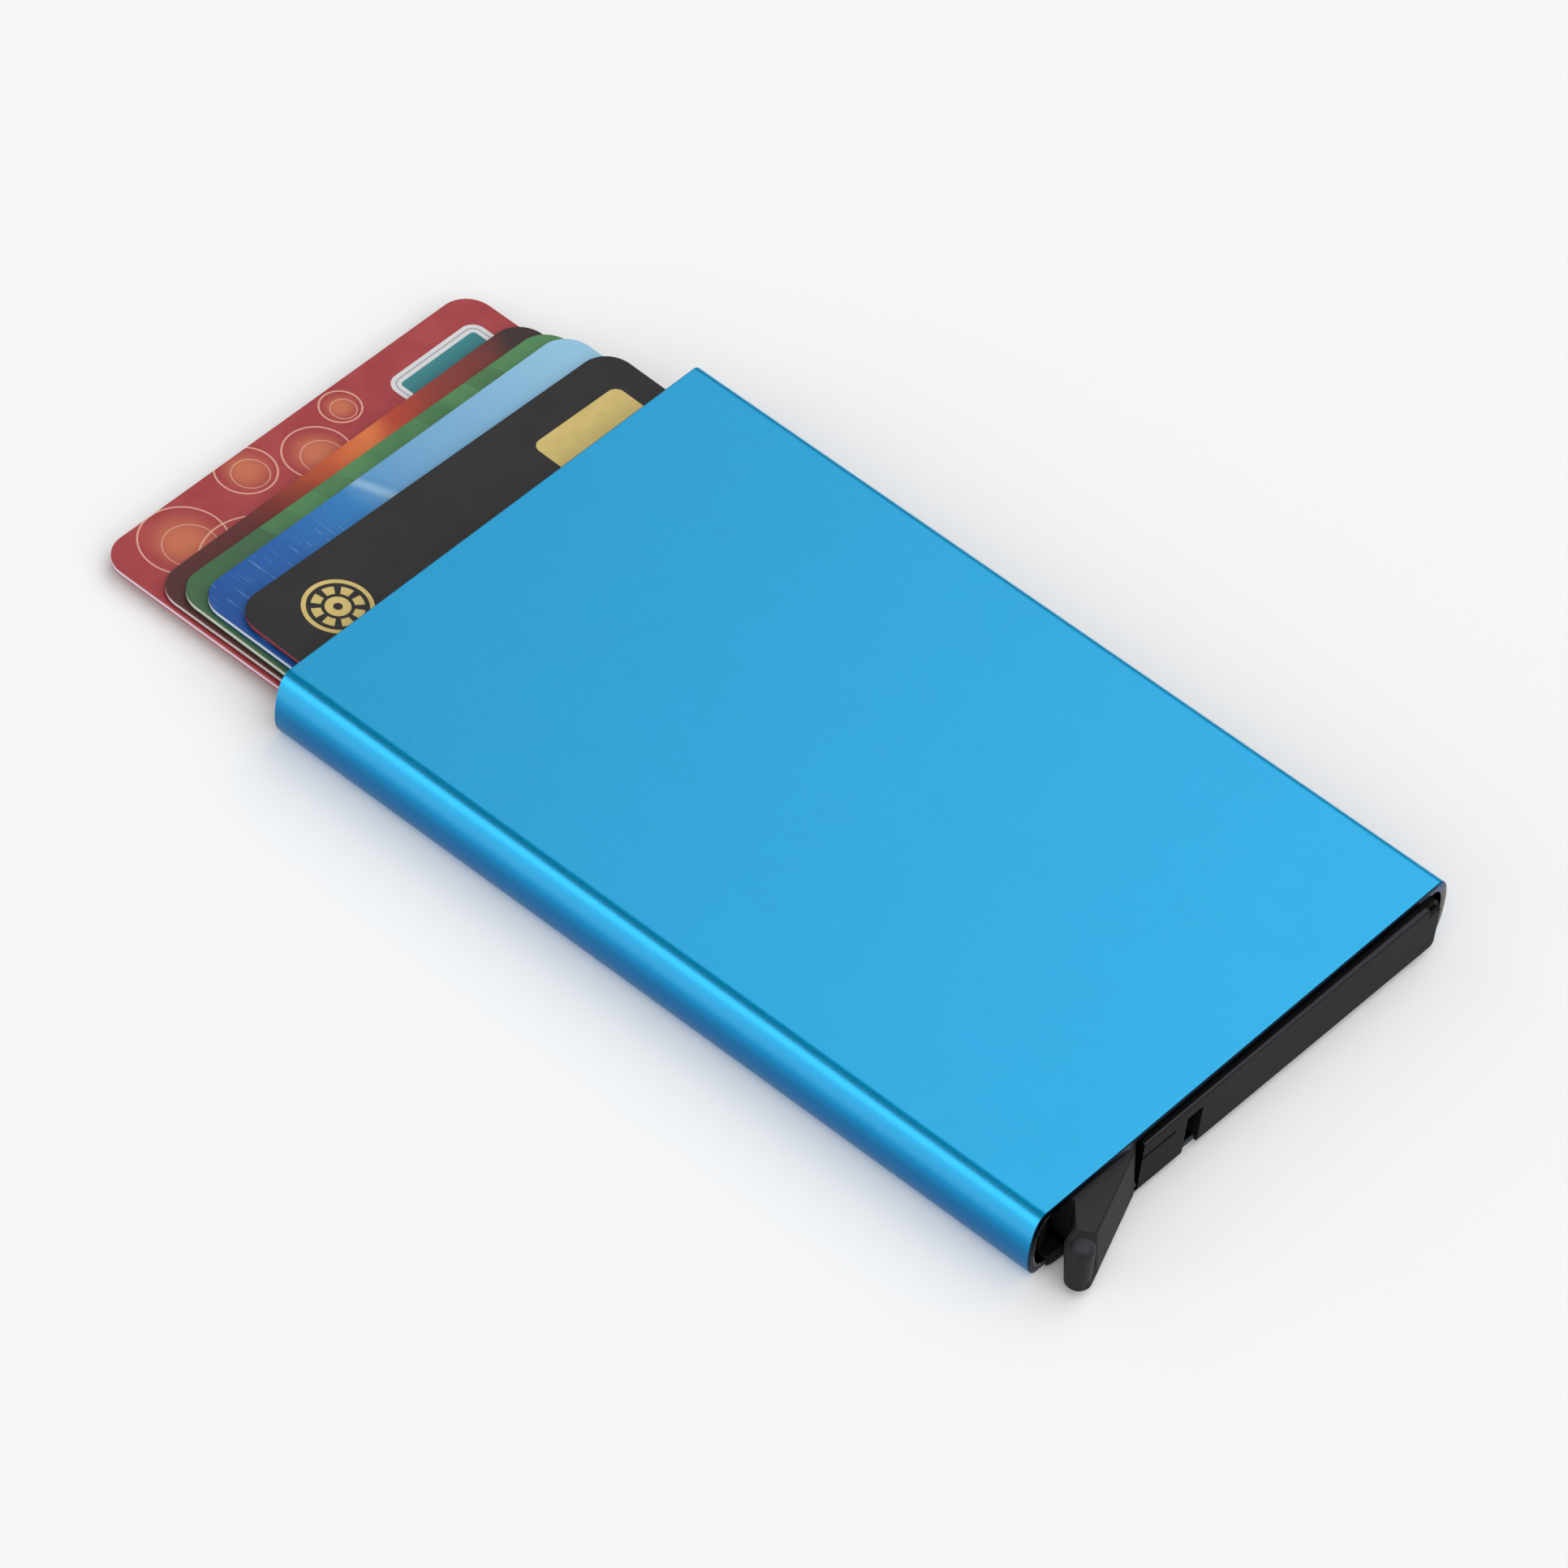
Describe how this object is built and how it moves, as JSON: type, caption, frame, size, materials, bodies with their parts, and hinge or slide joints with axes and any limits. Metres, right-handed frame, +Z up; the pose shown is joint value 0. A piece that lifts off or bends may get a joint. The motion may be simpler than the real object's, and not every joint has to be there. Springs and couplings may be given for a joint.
{
  "type": "pop-up card wallet",
  "caption": "Slim aluminium card sleeve with a moulded end cap and a sprung stepped trigger that fans bank-size cards out of its mouth.",
  "frame": {"origin": "centre of the sleeve's flat underside", "axes": "+Y along the sleeve, towards the mouth that the cards leave by; +Z up, square to the flat faces; +X across, away from the trigger's corner"},
  "size_m": [0.063, 0.1289, 0.0084],
  "materials": {
    "anodised_blue": "fine blasted and anodised bright blue",
    "black_plastic": "satin moulded",
    "trigger_plastic": "satin moulded",
    "bright_steel": "ground",
    "spring_steel": "drawn wire",
    "dark_liner": "smooth",
    "dark_felt": "short felt",
    "card_red": "laminated print",
    "card_maroon": "laminated print",
    "card_green": "laminated print",
    "card_blue": "laminated print",
    "card_black": "laminated print"
  },
  "bodies": {
    "case": {"sleeve": "anodised_blue", "end_cap": "black_plastic", "pivot_pin": "bright_steel", "return_spring": "spring_steel", "liner_left": "dark_liner", "liner_right": "dark_liner", "felt_left": "dark_felt", "felt_right": "dark_felt"},
    "ejector": {"trigger": "trigger_plastic"},
    "red_card": {"card_1_red": "card_red"},
    "maroon_card": {"card_2_maroon": "card_maroon"},
    "green_card": {"card_3_green": "card_green"},
    "blue_card": {"card_4_blue": "card_blue"},
    "black_card": {"card_5_black": "card_black"}
  },
  "joints": [
    {"name": "trigger_turn", "type": "hinge", "parent": "case", "child": "ejector", "pos_m": [-0.0255, -0.0428, 0.0042], "axis": [0, 0, 1], "range_deg": [0, 38], "stiffness_Nm_per_rad": 0.01, "springref_deg": -11.46, "deforming": ["return_spring"]},
    {"name": "red_card_slide", "type": "slide", "parent": "case", "child": "red_card", "axis": [0, 1, 0], "range_m": [-0.0278, 0.061]},
    {"name": "maroon_card_slide", "type": "slide", "parent": "case", "child": "maroon_card", "axis": [0, 1, 0], "range_m": [-0.0208, 0.068]},
    {"name": "green_card_slide", "type": "slide", "parent": "case", "child": "green_card", "axis": [0, 1, 0], "range_m": [-0.0181, 0.071]},
    {"name": "blue_card_slide", "type": "slide", "parent": "case", "child": "blue_card", "axis": [0, 1, 0], "range_m": [-0.0156, 0.073]},
    {"name": "black_card_slide", "type": "slide", "parent": "case", "child": "black_card", "axis": [0, 1, 0], "range_m": [-0.0109, 0.078]}
  ]
}
